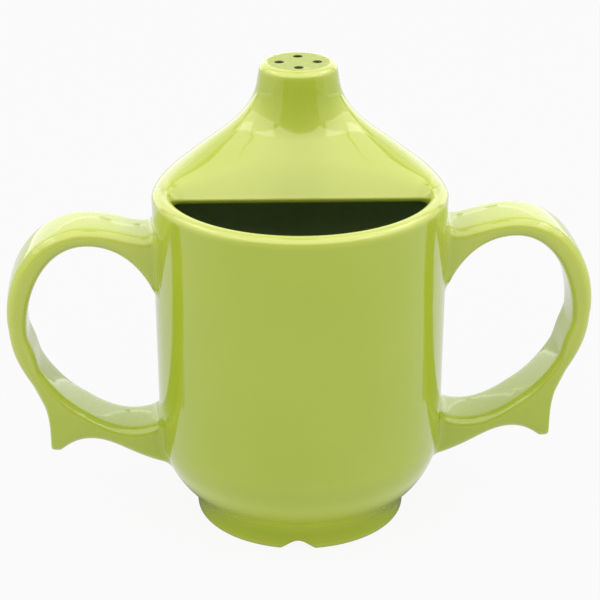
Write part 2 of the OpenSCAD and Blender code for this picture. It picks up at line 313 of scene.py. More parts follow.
@dataclass(frozen=True)
class StudioFloor:
    """Plain pale floor that reads white to the eye and in the glaze, and keeps a soft shadow. The glaze sees
    a painted shadow on it round the foot and painted shade far in front.
    """

    name: str = "studio_floor"
    paint: Rgb = (0.36, 0.36, 0.36)
    # Grey of the painted shadow round the foot and painted shade far in front, seen only in the glaze.
    painted_shade_grey: Rgb = (0.14, 0.14, 0.14)
    white: Rgb = (1.0, 1.0, 1.0)
    glow: float = 0.92
    even: float = 0.80
    sheen: float = 0.86
    painted_far_shade: Span = (-1.30, -0.30)
    painted_foot_shadow: Span = (0.030, 0.044)

    def material(self) -> Material:
        """Build the material.

        Returns:
            A matt material, part of which glows to camera, glossy and transmission rays.
        """
        material, bench = new_material(self.name)
        path = bench.add("ShaderNodeLightPath").socket.node.outputs
        seen, mirrored, through = (
            Wire(bench, path[f"Is {ray} Ray"]) for ray in ("Camera", "Glossy", "Transmission")
        )
        place = bench.add("ShaderNodeTexCoord", out="Object")
        depth = bench.add("ShaderNodeSeparateXYZ", sockets={0: place}, out="Y")
        apart = bench.add("ShaderNodeVectorMath", {"operation": "LENGTH"}, {0: place}, out="Value")
        # Painted shadow round the foot and painted shade far in front, for glossy rays only.
        lit = depth.ramp(*self.painted_far_shade) * apart.ramp(*self.painted_foot_shadow) * self.sheen
        tone = bench.mix((1.0 - mirrored + lit).at_most(1.0), self.painted_shade_grey, self.white)
        share = self.even + (seen + mirrored + through).at_most(1.0) * (self.glow - self.even)
        matt = bench.add("ShaderNodeBsdfDiffuse", sockets={"Color": rgba(self.paint)})
        glowing = bench.add("ShaderNodeEmission", sockets={"Color": tone, "Strength": 1.0})
        both = bench.add("ShaderNodeMixShader", sockets={0: share, 1: matt, 2: glowing})
        bench.add("ShaderNodeOutputMaterial", sockets={"Surface": both})
        return material


# Shapes as distance fields, in millimetres


def smooth_min(a: Array, b: Array, k: Any) -> Array:
    """Union of two fields with a fillet about k wide."""
    h = np.maximum(k - np.abs(a - b), 0.0)
    return np.minimum(a, b) - h * h / (4.0 * k)


def round_max(a: Array, b: Array, r: Any) -> Array:
    """Intersection of two fields with its edge rounded to radius r."""
    outside = np.hypot(np.maximum(a + r, 0.0), np.maximum(b + r, 0.0)) - r
    return np.minimum(np.maximum(a, b) + r, 0.0) + outside


def smooth_step(x: Array, low: float, high: float) -> Array:
    """Smooth step from 0 at low to 1 at high."""
    t = np.clip((x - low) / (high - low), 0.0, 1.0)
    return t * t * (3.0 - 2.0 * t)


def gradient(shape: Field, points: Array, h: float = 0.03) -> Array:
    """Slope of a field by central differences.

    Args:
        shape: The field.
        points: Rows of x, y, z.
        h: Half the step.

    Returns:
        One vector for each point.
    """
    slope = np.empty_like(points)
    for axis in range(3):
        step = np.zeros(3)
        step[axis] = h
        slope[:, axis] = (shape(points + step) - shape(points - step)) / (2.0 * h)
    return slope


def unit(vectors: Array) -> Array:
    """Each row at length 1."""
    return vectors / np.maximum(np.linalg.norm(vectors, axis=1, keepdims=True), TINY)


def bend(p: Array, q: Array, s: Array, t: Array) -> Array:
    """Points of the curve from p to s that is pulled towards q."""
    t = t[:, None]
    return p * (1 - t) ** 2 + q * 2 * t * (1 - t) + s * t * t


@dataclass(frozen=True)
class CupBody:
    """The turned cup: upright wall, rounded rim, curved turn to the foot, floor and boss."""

    rim_r: float = 40.0
    rim_h: float = 96.0
    wall_t: float = 4.5
    wall_taper: float = 0.7
    turn_h: float = 26.0
    floor_h: float = 8.0
    inner_bend_r: float = 17.0
    hollow_h: float = 3.0
    boss_r: float = 23.9
    boss_skirt: float = 0.4
    boss_sink: float = 1.0
    base_r: float = 29.3
    base_h: float = 7.3

    @property
    def low_r(self) -> float:
        """Radius where the wall starts to turn in."""
        return self.rim_r - self.wall_taper

    @cached_property
    def turn_r(self) -> float:
        """Radius of the arc that leaves the wall upright and ends at the foot."""
        turn_in = self.low_r - self.base_r
        return (turn_in**2 + (self.turn_h - self.base_h) ** 2) / (2.0 * turn_in)

    def wall_r(self, z: Any) -> Any:
        """Outer radius of the upright wall at a height."""
        return self.rim_r - self.wall_taper * (self.rim_h - z) / (self.rim_h - self.turn_h)

    def body_r(self, z: Array) -> Array:
        """Find the outer radius of the wall or its turn.

        Args:
            z: Heights.

        Returns:
            The radius at each height.
        """
        dip = np.clip(self.turn_h - z, 0.0, self.turn_r)
        turned = self.low_r - self.turn_r + np.sqrt(self.turn_r**2 - dip**2)
        return np.where(z >= self.turn_h, self.wall_r(z), turned)

    def outside(self, r: Array, z: Array) -> Array:
        """Distance from the outer surface."""
        turn = np.hypot(np.maximum(r - self.low_r + self.turn_r, 0.0), self.turn_h - z) - self.turn_r
        return np.where(z >= self.turn_h, r - self.wall_r(z), turn)

    def inside(self, r: Array, z: Array) -> Array:
        """Measure from the inner surface.

        Args:
            r: Radii.
            z: Heights.

        Returns:
            Distances, less than 0 where the drink is.
        """
        bend_h = self.floor_h + self.inner_bend_r
        low_r = self.wall_r(bend_h) - self.wall_t
        turn = np.hypot(np.maximum(r - low_r + self.inner_bend_r, 0.0), bend_h - z) - self.inner_bend_r
        return np.where(z >= bend_h, r - self.wall_r(z) + self.wall_t, turn)

    def shell(self, r: Array, z: Array) -> Array:
        """Measure from the cup's clay, with its rim rounded over and the boss below its floor.

        Args:
            r: Radii.
            z: Heights.

        Returns:
            Distances, less than 0 in the clay.
        """
        half = self.wall_t / 2.0
        crest_h = self.rim_h - half
        nose = np.hypot(r - self.wall_r(crest_h) + half, z - crest_h) - half
        wall = np.maximum(self.outside(r, z), -self.inside(r, z))
        ends = np.maximum(self.hollow_h - z, z - self.floor_h + self.boss_sink)
        boss = np.maximum(r - self.boss_r - self.boss_skirt, ends)
        return np.minimum(np.where(z > crest_h, nose, wall), boss)


@dataclass(frozen=True)
class FootRing:
    """The ring that the cup stands on, with drain notches in its lower edge."""

    top_r: float = 29.3
    inner_r: float = 24.3
    top_h: float = 6.9
    run_up: float = 1.6
    draw_in: float = 0.4
    edge_r: float = 1.6
    inner_edge_r: float = 1.0
    notch_count: int = 3
    notch_half: float = 6.2
    notch_depth: float = 2.7
    notch_turn: float = -95.0
    notch_soft: float = 1.2
    notch_lift: float = 0.7
    notch_sink: float = 0.04
    cut_low: float = -1.5
    cut_past: Span = (-4.0, -0.3)
    flare_steps: int = 11
    arch_steps: int = 41

    def ring(self, r: Array, z: Array) -> Array:
        """Measure from the ring's clay, up into the cup's wall.

        Args:
            r: Radii.
            z: Heights.

        Returns:
            Distances, less than 0 in the clay.
        """
        lean = r - self.top_r + self.draw_in * (1.0 - z / self.top_h)
        outer = round_max(lean, -z, self.edge_r)
        inner = round_max(self.inner_r - r, -z, self.inner_edge_r)
        return np.maximum(np.maximum(outer, inner), z - self.top_h - self.run_up)

    def flare(self, d: Array) -> Array:
        """How much a notch widens at a depth d under the ring's surface."""
        left = np.clip(self.notch_soft - np.maximum(d, 0.0), 0.0, None)
        return self.notch_soft - np.sqrt(np.maximum(self.notch_soft**2 - left**2, 0.0))

    def notch(self) -> Piece:
        """Build the bell-shaped channel that one notch takes out, along +X.

        Returns:
            The cutting shape.
        """
        low_r = self.top_r - self.draw_in
        inward = np.concatenate([self.cut_past, np.linspace(0.0, self.notch_soft, self.flare_steps)])
        middle = (low_r + self.inner_r) / 2.0
        radii = np.concatenate([low_r - inward, [middle], (self.inner_r + inward)[::-1]])
        depths = np.concatenate([inward, [self.notch_soft], inward[::-1]])
        share = np.linspace(-1.0, 1.0, self.arch_steps)
        bell = np.cos(0.5 * math.pi * share) ** 2
        rings = []
        for rho, soft in zip(radii, self.flare(depths)):
            arch = (self.notch_depth + self.notch_lift * soft) * bell - self.notch_sink
            y = np.concatenate([[-1.0], share, [1.0]]) * (self.notch_half + soft)
            z = np.concatenate([[self.cut_low], arch, [self.cut_low]])
            rings.append(np.stack([np.sqrt(rho**2 - y**2), y, z], axis=1))
        return loft("notch_shape", np.array(rings))


@dataclass(frozen=True)
class HalfCover:
    """The cover over the cup's back half, drawn up into the spout, in a frame turned about Z."""

    turn: float = -2.5
    plan_r: float = 39.96
    wall_t: float = 4.5
    lip_y: float = -4.6
    lip_t: float = 4.0
    base_h: float = 92.4
    brow_h: float = 95.4
    throat_h: float = 111.8
    neck_h: float = 118.0
    brow_share: float = 0.25
    lip_share: float = 0.05
    lip_from: float = 0.1
    lip_blend: float = 0.8
    throat_share: float = 0.36
    lip_throat_share: float = 0.24
    throat_soft: float = 5.0
    brow_rise: float = 2.8
    neck_run: float = 1.2
    slope_steps: int = 200
    drop: float = 1.5
    spout_y: float = 18.0
    top_h: float = 125.0
    tip_r: float = 10.45
    spread: float = 0.16
    bore_t: float = 3.4
    end_t: float = 3.2
    tip_edge_r: float = 1.7
    bore_edge_r: float = 1.0
    square_at_seat: float = 90.0
    square_at_neck: float = 3.0
    square_fade: int = 8
    lip_sink: float = 1.7
    lip_lift: float = -0.38
    lip_edge_r: float = 1.9

    def local(self, p: Array) -> Array:
        """Points in the cover's own frame."""
        c, s = math.cos(math.radians(self.turn)), math.sin(math.radians(self.turn))
        return np.stack([c * p[:, 0] + s * p[:, 1], c * p[:, 1] - s * p[:, 0], p[:, 2]], axis=1)

    def slope(self, drop: float, roll: float, hollow: float, sink: float = 0.0) -> Line:
        """Trace the slope from the seat up to the neck.

        Args:
            drop: How far the line lies below the cover's outside.
            roll: Share of the slope that its rounded brow takes up.
            hollow: Share of the slope that bends up into the neck.
            sink: How much lower the brow lies than round the wall.

        Returns:
            Heights, and the share of the way out to the plan at each.
        """
        brow = np.array([1.0, self.brow_h - drop - sink])
        throat = np.array([0.0, self.throat_h - drop])
        upright = np.array([1.0, brow[1] + self.brow_rise * roll * (self.base_h - brow[1])])
        top = np.array([0.0, self.neck_h + self.neck_run])
        steps = np.linspace(0.0, 1.0, self.slope_steps)
        line = np.concatenate([
            [[1.0, self.base_h]],
            bend(upright, brow, brow + (throat - brow) * roll, steps),
            bend(throat + (brow - throat) * hollow, throat, top, steps),
        ])
        return line[:, 1], line[:, 0]

    @cached_property
    def outer_slope(self) -> Line:
        """The slope of the cover's outside."""
        return self.slope(0.0, self.brow_share, self.throat_share)

    @cached_property
    def inner_slope(self) -> Line:
        """The slope of the hollow under the cover."""
        return self.slope(self.drop, self.brow_share, self.throat_share)

    @cached_property
    def lip_slope(self) -> Line:
        """The slope above the lip, which turns over more tightly."""
        return self.slope(0.0, self.lip_share, self.lip_throat_share, self.lip_sink)

    def skin(self, q: Array, side: Skin) -> Array:
        """Take the level of points against one of the cover's surfaces, out from the spout's axis.

        Args:
            q: Points in the cover's frame.
            side: The surface.

        Returns:
            Levels, less than 0 on the spout's side.
        """
        inner = side is Skin.INNER
        z = q[:, 2]
        x, y = q[:, 0], q[:, 1] - self.spout_y
        rho = np.maximum(np.hypot(x, y), TINY)
        cos, sin = x / rho, y / rho
        plan_r = self.plan_r - (self.wall_t if inner else 0.0)
        lip = self.spout_y - self.lip_y - (self.lip_t if inner else 0.0)
        up = np.clip((z - self.base_h) / (self.neck_h - self.base_h), 0.0, 1.0)
        fade = (1.0 - up) ** self.square_fade
        square = self.square_at_neck + (self.square_at_seat - self.square_at_neck) * fade
        bow = 1.0 / (np.sqrt(plan_r**2 - (self.spout_y * cos) ** 2) - self.spout_y * sin)
        front = np.maximum(-sin, 0.0) / lip * (side is not Skin.DOME)
        most = np.maximum(bow, front)
        plan = 1.0 / (most * ((bow / most) ** square + (front / most) ** square) ** (1.0 / square))
        neck = self.tip_r + self.spread * (self.top_h - z) - (self.bore_t if inner else 0.0)
        share = np.interp(z, *(self.inner_slope if inner else self.outer_slope))
        if not inner:
            tight = smooth_step(-sin, self.lip_from, self.lip_from + self.lip_blend)
            share = share + tight * (np.interp(z, *self.lip_slope) - share)
            below = self.throat_h - z
            neck = neck - tight * self.spread * 0.5 * (below + np.hypot(below, self.throat_soft))
        return rho - neck - (plan - neck) * share

    def distance(self, q: Array, side: Skin) -> Array:
        """Measure from one of the cover's surfaces: its level over the level's slope.

        Args:
            q: Points in the cover's frame.
            side: The surface.

        Returns:
            Distances, less than 0 on the spout's side.
        """
        level = self.skin(q, side)
        slope = sum(((self.skin(q + step, side) - level) / PROBE) ** 2 for step in np.eye(3) * PROBE)
        return level / np.sqrt(np.maximum(slope, 1.0))

    def shell(self, p: Array) -> Array:
        """Measure from the clay of cover, spout and lip.

        Args:
            p: Rows of x, y, z.

        Returns:
            Distances, less than 0 in the clay.
        """
        q = self.local(p)
        z = q[:, 2]
        outer = round_max(self.distance(q, Skin.OUTER), z - self.top_h, self.tip_edge_r)
        hollow = round_max(self.distance(q, Skin.INNER), z - self.top_h + self.end_t, self.bore_edge_r)
        return round_max(np.maximum(outer, -hollow), self.base_h + self.lip_lift - z, self.lip_edge_r)


@dataclass(frozen=True)
class FlowHoles:
    """The holes in the spout's end, with painted shade on their walls and flared mouths."""

    count: int = 4
    hole_r: float = 1.2
    circle_r: float = 5.2
    depth: float = 8.0
    soft: float = 0.45
    soft_from: float = 2.0
    lift: float = 0.03
    cut_past: float = 1.0
    # Edge value of the hole walls, low enough to paint them with the glaze's deep painted shade.
    edge: float = -6.0
    arc_steps: int = 10
    sides: int = 40

    def plug(self, top_h: float) -> Piece:
        """Build the shape that one hole takes out.

        Args:
            top_h: Height of the spout's end.

        Returns:
            The cutting shape, upright on the Z axis.
        """
        turn = np.radians(np.linspace(0.0, 90.0, self.arc_steps))
        r = self.hole_r + self.soft * (1.0 - np.cos(turn))
        z = top_h - self.soft * (1.0 - np.sin(turn)) + self.lift
        low, over = top_h - self.depth, top_h + self.cut_past
        outline = [(0.0, low), (self.hole_r, low), (self.hole_r, top_h - self.soft_from)]
        outline += list(zip(r, z)) + [(r[-1], over), (0.0, over)]
        return lathe("hole_shape", outline, self.sides)


# Meshes


def placed(name: str, data: Any) -> Piece:
    """Make an object and link it to the scene.

    Args:
        name: The object's name.
        data: Its mesh, light or camera.

    Returns:
        The object.
    """
    made = bpy.data.objects.new(name, data)
    bpy.context.scene.collection.objects.link(made)
    return made


def mesh_object(name: str, points: Array, faces: Sequence[Sequence[int]]) -> Piece:
    """Make an object from points in millimetres.

    Args:
        name: The object's name.
        points: Rows of x, y, z.
        faces: Corners of each face.

    Returns:
        A closed mesh with its faces outwards, smooth, linked to the scene.
    """
    mesh = bpy.data.meshes.new(name)
    mesh.from_pydata((np.asarray(points) * MM).tolist(), [], [list(map(int, f)) for f in faces])
    shape = bmesh.new()
    shape.from_mesh(mesh)
    bmesh.ops.remove_doubles(shape, verts=shape.verts, dist=WELD)
    bmesh.ops.recalc_face_normals(shape, faces=shape.faces)
    shape.to_mesh(mesh)
    shape.free()
    mesh.shade_smooth()
    return placed(name, mesh)


def loft(name: str, rings: Array) -> Piece:
    """Make a closed solid through rings of points.

    Args:
        name: The object's name.
        rings: Points by ring, place in the ring, and axis.

    Returns:
        The solid, its two ends closed.
    """
    n, m = rings.shape[:2]
    points = rings.reshape(-1, 3)
    i, j = np.meshgrid(np.arange(n - 1), np.arange(m), indexing="ij")
    a, b = i * m + j, i * m + (j + 1) % m
    sides = np.stack([a, b, b + m, a + m], axis=-1).reshape(-1, 4).tolist()
    ends = [list(range(m))[::-1], list(range((n - 1) * m, n * m))]
    return mesh_object(name, points, sides + ends)


def lathe(name: str, outline: Sequence[Span], steps: int = 160) -> Piece:
    """Turn a closed outline about the Z axis.

    Args:
        name: The object's name.
        outline: Corners as radius and height.
        steps: Steps of the turn.

    Returns:
        The turned solid.
    """
    line = np.array(outline, dtype=float)
    turn = np.arange(steps) * 2.0 * math.pi / steps
    m = len(line)
    points = np.stack([
        np.outer(np.cos(turn), line[:, 0]),
        np.outer(np.sin(turn), line[:, 0]),
        np.broadcast_to(line[:, 1], (steps, m)),
    ], axis=-1).reshape(-1, 3)
    faces = []
    for i in range(steps):
        for j in range(m):
            k, e = (j + 1) % m, (i + 1) % steps
            quad = [i * m + j, e * m + j, e * m + k, i * m + k]
            if line[j, 0] == 0.0 and line[k, 0] == 0.0:
                continue
            faces.append(quad[1:] if line[j, 0] == 0.0 else quad[:3] if line[k, 0] == 0.0 else quad)
    return mesh_object(name, points, faces)


def prism(name: str, outline: Sequence[Span], turn: float, half: float = 70.0) -> Piece:
    """Draw an outline in Y and Z out along X, then turn it about Z.

    Args:
        name: The object's name.
        outline: Corners as y and z.
        turn: Turn in degrees.
        half: Half the length along X.

    Returns:
        The solid.
    """
    c, s = math.cos(math.radians(turn)), math.sin(math.radians(turn))
    rings = [[(c * x - s * y, s * x + c * y, z) for y, z in outline] for x in (-half, half)]
    return loft(name, np.array(rings))


def box_outline(near: float, far: float, low: float, high: float) -> list[Span]:
    """Corners of an upright rectangle."""
    return [(near, low), (far, low), (far, high), (near, high)]


def settled(piece: Piece) -> None:
    """Turn a piece's modifiers into plain mesh.

    Args:
        piece: The piece, changed in place.
    """
    done = piece.evaluated_get(bpy.context.evaluated_depsgraph_get())
    mesh = bpy.data.meshes.new_from_object(done)
    piece.modifiers.clear()
    piece.data = mesh


def carve(piece: Piece, zone: Piece, cut: Cut) -> None:
    """Keep or remove the part of a piece that lies in a zone.

    Args:
        piece: The piece, changed in place.
        zone: The cutting shape, which is used up.
        cut: Whether the zone's part stays or goes.
    """
    modifier = piece.modifiers.new("carve", "BOOLEAN")
    modifier.operation = cut.value
    modifier.solver = "MANIFOLD"
    modifier.object = zone
    settled(piece)
    bpy.data.objects.remove(zone)


class RingOfCuts:
    """A Geometry Nodes tree that takes one shape out of a piece at even steps round an axis."""

    INPUTS = (
        ("Piece", "NodeSocketGeometry"),
        ("Shape", "NodeSocketObject"),
        ("Count", "NodeSocketInt"),
        ("Circle Radius", "NodeSocketFloat"),
        ("First Turn", "NodeSocketFloat"),
        ("Centre", "NodeSocketVector"),
        ("Finish", "NodeSocketMaterial"),
    )

    def __init__(self) -> None:
        """Build the tree."""
        tree = bpy.data.node_groups.new("ring_of_cuts", "GeometryNodeTree")
        self.tree = tree
        self.keys = {
            name: tree.interface.new_socket(name, in_out="INPUT", socket_type=kind).identifier
            for name, kind in self.INPUTS
        }
        tree.interface.new_socket("Piece", in_out="OUTPUT", socket_type="NodeSocketGeometry")
        bench = Bench(tree)
        given = bench.add("NodeGroupInput").socket.node.outputs
        size = {name: Wire(bench, given[name]) for name, _ in self.INPUTS}
        index = bench.add("GeometryNodeInputIndex")
        angle = size["First Turn"] + index * (2.0 * math.pi / size["Count"])
        reach = size["Circle Radius"]
        flat = {0: reach * angle.cosine(), 1: reach * angle.sine()}
        spot = bench.add("ShaderNodeCombineXYZ", sockets=flat)
        place = bench.add("ShaderNodeVectorMath", {"operation": "ADD"}, {0: spot, 1: size["Centre"]})
        points = bench.add("GeometryNodePoints", sockets={"Count": size["Count"], "Position": place})
        shape = bench.add("GeometryNodeObjectInfo", sockets={"Object": size["Shape"]}, out="Geometry")
        facing = bench.add("ShaderNodeCombineXYZ", sockets={2: angle})
        copies = bench.add(
            "GeometryNodeInstanceOnPoints",
            sockets={"Points": points, "Instance": shape, "Rotation": facing},
        )
        loose = bench.add("GeometryNodeRealizeInstances", sockets={"Geometry": copies})
        cut = bench.add(
            "GeometryNodeMeshBoolean",
            {"operation": "DIFFERENCE", "solver": "MANIFOLD"},
            {"Mesh 1": size["Piece"], "Mesh 2": loose},
        )
        whole = bench.add("GeometryNodeRealizeInstances", sockets={"Geometry": cut})
        finish = {"Geometry": whole, "Material": size["Finish"]}
        dressed = bench.add("GeometryNodeSetMaterial", sockets=finish)
        bench.add("NodeGroupOutput", sockets={0: dressed})

    def cut(self, piece: Piece, sizes: dict[str, Any]) -> None:
        """Take a shape out of a piece.

        Args:
            piece: The piece, changed in place.
            sizes: The tree's inputs by name. The shape among them is used up.
        """
        modifier = piece.modifiers.new("cuts", "NODES")
        modifier.node_group = self.tree
        for name, value in sizes.items():
            modifier[self.keys[name]] = value
        sizes["Shape"].hide_render = True
        settled(piece)
        bpy.data.objects.remove(sizes["Shape"])


def surface_net(shape: Field, axes: Sequence[Array]) -> tuple[Array, Array]:
    """Lay a net of four-sided faces over a field's zero surface.

    Args:
        shape: The field.
        axes: Grid places along X, Y and Z.

    Returns:
        Points and faces, the faces outwards.
    """
    xs, ys, zs = axes
    plan = np.stack(np.meshgrid(xs, ys, indexing="ij"), axis=-1).reshape(-1, 2)
    values = np.empty((len(xs), len(ys), len(zs)))
    for k, z in enumerate(zs):
        layer = np.column_stack([plan, np.full(len(plan), z)])
        values[:, :, k] = shape(layer).reshape(len(xs), len(ys))
    inside = values < 0.0
    corners = [(a, b, c) for a in (0, 1) for b in (0, 1) for c in (0, 1)]
    size = [n - 1 for n in values.shape]
    filled = sum(
        inside[a:size[0] + a, b:size[1] + b, c:size[2] + c].astype(np.int8) for a, b, c in corners
    )
    cells = np.argwhere((filled > 0) & (filled < len(corners)))
    total = np.zeros((len(cells), 3))
    count = np.zeros(len(cells))
    for corner in corners:
        for axis in range(3):
            if corner[axis]:
                continue
            start = cells + corner
            end = start.copy()
            end[:, axis] += 1
            low, high = values[tuple(start.T)], values[tuple(end.T)]
            hit = (low < 0.0) != (high < 0.0)
            share = low[hit] / (low[hit] - high[hit])
            first = np.stack([axes[d][start[hit, d]] for d in range(3)], axis=1)
            last = np.stack([axes[d][end[hit, d]] for d in range(3)], axis=1)
            total[hit] += first + (last - first) * share[:, None]
            count[hit] += 1.0
    number = np.full(size, -1, dtype=np.int64)
    number[tuple(cells.T)] = np.arange(len(cells))
    faces = []
    for axis in range(3):
        here = [slice(1, -1)] * 3
        there = [slice(1, -1)] * 3
        here[axis], there[axis] = slice(0, -1), slice(1, None)
        edges = np.argwhere(inside[tuple(here)] != inside[tuple(there)])
        edges += [0 if d == axis else 1 for d in range(3)]
        u, v = (axis + 1) % 3, (axis + 2) % 3
        quad = []
        for du, dv in ((1, 1), (0, 1), (0, 0), (1, 0)):
            cell = edges.copy()
            cell[:, u] -= du
            cell[:, v] -= dv
            quad.append(number[tuple(cell.T)])
        quad = np.stack(quad, axis=1)
        outward = inside[tuple(edges.T)]
        faces.append(np.where(outward[:, None], quad, quad[:, ::-1]))
    return total / count[:, None], np.concatenate(faces)


def relaxed(shape: Field, points: Array, faces: Array) -> Array:
    """Even out a net, then lay each point onto the field's surface.

    Args:
        shape: The field.
        points: The net's points.
        faces: The net's faces.

    Returns:
        The moved points.
    """
    rounds, landings, pull = 4, 2, 0.6
    least_slope, stride = 0.05, 0.8
    pairs = np.stack([faces.ravel(), np.roll(faces, -1, axis=1).ravel()], axis=1)
    shared = np.bincount(pairs.ravel(), minlength=len(points))
    for step in range(rounds + landings):
        if step < rounds:
            mean = np.zeros_like(points)
            for d in range(3):
                mean[:, d] = np.bincount(pairs[:, 0], points[pairs[:, 1], d], len(points))
                mean[:, d] += np.bincount(pairs[:, 1], points[pairs[:, 0], d], len(points))
            points = (1.0 - pull) * points + pull * mean / shared[:, None]
        slope = gradient(shape, points)
        push = shape(points) / np.maximum((slope**2).sum(axis=1), least_slope)
        points = points - np.clip(push, -stride, stride)[:, None] * slope
    return points


def read(items: Any, name: str, kind: type = float) -> Array:
    """Read one property of all points, corners or faces of a mesh.

    Args:
        items: The points, corners or faces.
        name: The property.
        kind: int for a single number each, float for a vector each.

    Returns:
        One value or one row for each.
    """
    values = np.empty((len(items), 3) if kind is float else len(items), dtype=kind)
    items.foreach_get(name, values.ravel())
    return values


def face_corners(mesh: bpy.types.Mesh) -> tuple[Array, Array, Array]:
    """Read a mesh's face corners.

    Args:
        mesh: The mesh.

    Returns:
        Each corner's point, its face and its shading normal.
    """
    point = read(mesh.loops, "vertex_index", int)
    sizes = read(mesh.polygons, "loop_total", int)
    return point, np.repeat(np.arange(len(sizes)), sizes), read(mesh.corner_normals, "vector")


def smoothed(mesh: bpy.types.Mesh) -> Array:
    """Shade a mesh smooth between its creases.

    Args:
        mesh: The mesh.

    Returns:
        Its points in millimetres.
    """
    mesh.shade_smooth()
    mesh.set_sharp_from_angle(angle=CREASE)
    return read(mesh.vertices, "co") / MM


def note_edge_and_painted_light(mesh: bpy.types.Mesh, edge: Array) -> None:
    """Keep the edge value of each point for the glaze, with the painted light and painted shade that it
    carries.
    """
    mesh.attributes.new(EDGE_AND_PAINTED_LIGHT, "FLOAT", "POINT").data.foreach_set("value", edge.astype(np.float32))


@dataclass(frozen=True)
class PaintedLightAndShade:
    """Painted light on upper slopes and handles, and painted shade on the wall inside the cup, as a change to
    the edge value.
    """

    # Strength of the painted light on sloping upper faces.
    thin_and_painted_light: float = 1.55
    leaning: Span = (0.15, 0.6)
    level: Span = (0.6, 0.95)
    level_share: float = 0.5
    top: Span = (80.0, 97.0)
    # Painted light that grows towards the top of a handle.
    handle_painted_light: float = 0.8
    handle: Span = (25.0, 60.0)
    # Strength of the painted shade on the wall inside the cup.
    thick: float = 3.6
    inner: Span = (35.0, 36.4)
    floor: Span = (24.0, 30.0)
    rim: Span = (90.0, 93.0)

    def painted_light_on_slopes(self, points: Array, normals: Array) -> Array:
        """Find the painted light on the sloping upper faces of hood, rim and handles.

        Args:
            points: Rows of x, y, z.
            normals: Directions out of the clay.

        Returns:
            One value for each point.
        """
        up = normals[:, 2]
        lean = smooth_step(up, *self.leaning) - self.level_share * smooth_step(up, *self.level)
        return self.thin_and_painted_light * lean * smooth_step(points[:, 2], *self.top)

    def on_handle(self, points: Array, normals: Array) -> Array:
        """The painted light on a handle: on its upper slopes, and more towards its top."""
        return self.painted_light_on_slopes(points, normals) + self.handle_painted_light * smooth_step(points[:, 2], *self.handle)

    def on_cup(self, points: Array, normals: Array) -> Array:
        """Find the painted light on the cup's upper slopes, and the painted shade on the wall inside, which
        is less than 0.

        Args:
            points: Rows of x, y, z.
            normals: Directions out of the clay.

        Returns:
            One value for each point.
        """
        r, z = np.hypot(points[:, 0], points[:, 1]), points[:, 2]
        depth = smooth_step(z, *self.floor) * (1.0 - smooth_step(z, *self.rim))
        # Painted light on upper slopes, less the painted shade on the wall inside.
        return self.painted_light_on_slopes(points, normals) - self.thick * (1.0 - smooth_step(r, *self.inner)) * depth


def dress_surface(piece: Piece, shape: Field, cut_edge: float) -> None:
    """Give a piece of the fired cup its shading normals and its edge attribute from the field.

    Args:
        piece: The piece.
        shape: The field that its glazed surface lies on.
        cut_edge: Edge value of the walls that were cut through the clay; on the flow holes' walls it is low
            enough for their painted shade.
    """
    skin, steep, sharp, facing = 0.06, 0.9, 0.48, 0.35
    mesh = piece.data
    points = smoothed(mesh)
    normals = unit(gradient(shape, points))
    on_glaze = np.abs(shape(points)) < skin
    helper = np.where(np.abs(normals[:, 2:]) < steep, [[0.0, 0.0, 1.0]], [[1.0, 0.0, 0.0]])
    along = unit(np.cross(normals, helper))
    across = np.cross(normals, along)
    ring = sum(shape(points + step) for step in (along, -along, across, -across))
    # Curvature, plus painted light on upper slopes and painted shade inside the cup.
    edge = np.clip(ring / sharp, -1.0, 1.0) + PaintedLightAndShade().on_cup(points, normals)
    note_edge_and_painted_light(mesh, np.where(on_glaze, edge, cut_edge))
    point, face, shading = face_corners(mesh)
    flat = read(mesh.polygons, "normal")[face]
    held = on_glaze[point] & ((normals[point] * flat).sum(axis=1) > facing)
    mesh.normals_split_custom_set(np.where(held[:, None], normals[point], shading).tolist())


def join_frame(piece: Piece, node: str, finish: Material) -> None:
    """Dress a finished piece and set it in the frame in place of a node.

    Args:
        piece: The piece.
        node: The node that it stands for.
        finish: The piece's material.
    """
    piece.data.materials.clear()
    piece.data.materials.append(finish)
    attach(piece, "root")
    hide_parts(node)
    log.info("%s stands for %s: %d faces", piece.name, node, len(piece.data.polygons))


# Sub-assemblies


